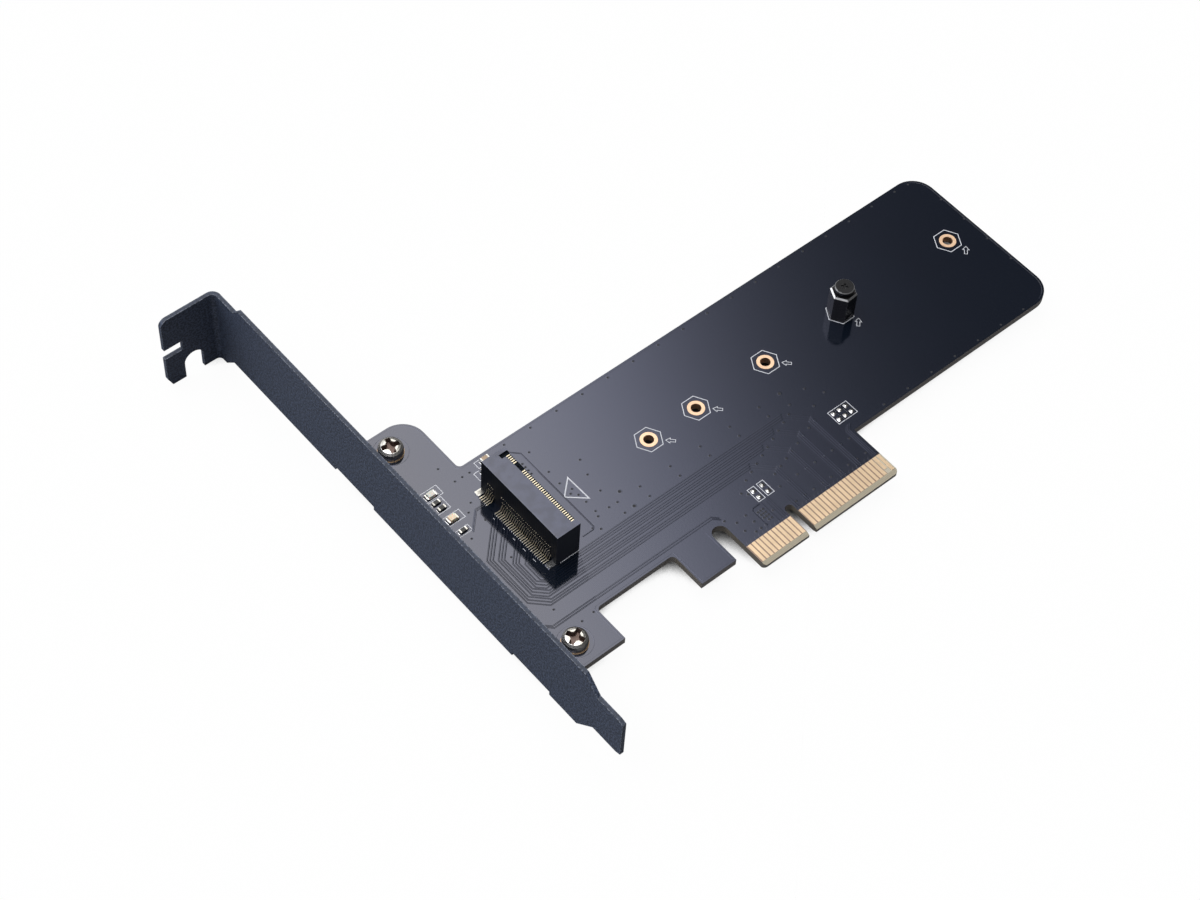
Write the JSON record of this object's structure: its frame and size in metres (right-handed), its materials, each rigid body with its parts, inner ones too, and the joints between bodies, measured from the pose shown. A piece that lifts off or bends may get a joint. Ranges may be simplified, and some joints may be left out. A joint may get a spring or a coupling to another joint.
{
  "type": "nvme adapter card",
  "caption": "Expansion card with a gold edge connector, a raised drive socket and standoff, and a folded metal mounting bracket along one end.",
  "frame": {"origin": "middle of the key notch, on the lower edge of the connector tongue, at the middle of the board's thickness", "axes": "+X along the card away from the bracket, +Y away from the slot it plugs into, +Z out of the component side"},
  "size_m": [0.1491, 0.12, 0.0212],
  "materials": {
    "board": "glossy black solder mask",
    "contact_gold": "gold plating",
    "bracket_coat": "fine textured powder coat",
    "black_metal": "black plating",
    "socket_plastic": "moulded, black",
    "pin_gold": "thin gold plating",
    "solder": "tinned",
    "nickel": "nickel plating",
    "led_white": "milky",
    "led_cream": "milky, yellowish",
    "resistor_body": "glazed",
    "capacitor_body": "ceramic"
  },
  "bodies": {
    "root": {"circuit_board": "board", "edge_contacts_front": "contact_gold", "edge_contacts_back": "contact_gold", "bracket": "bracket_coat", "standoff": "black_metal", "standoff_screw_upper": "black_metal", "standoff_screw_lower": "black_metal", "socket_housing": "socket_plastic", "socket_upper_contacts": "pin_gold", "socket_lower_contacts": "pin_gold", "socket_hold_downs": "solder", "plated_hole_30": "contact_gold", "plated_hole_42": "contact_gold", "plated_hole_60": "contact_gold", "plated_hole_80": "contact_gold", "plated_hole_110": "contact_gold", "screw_land_upper": "contact_gold", "bracket_screw_upper": "nickel", "screw_land_lower": "contact_gold", "bracket_screw_lower": "nickel", "led_upper_body": "led_white", "led_upper_ends": "solder", "led_lower_body": "led_cream", "led_lower_ends": "solder", "resistor_upper_body": "resistor_body", "resistor_upper_ends": "solder", "resistor_middle_body": "resistor_body", "resistor_middle_ends": "solder", "resistor_lower_body": "resistor_body", "resistor_lower_ends": "solder", "capacitor_upper_body": "capacitor_body", "capacitor_upper_ends": "solder", "capacitor_lower_body": "capacitor_body", "capacitor_lower_ends": "solder"}
  },
  "joints": []
}
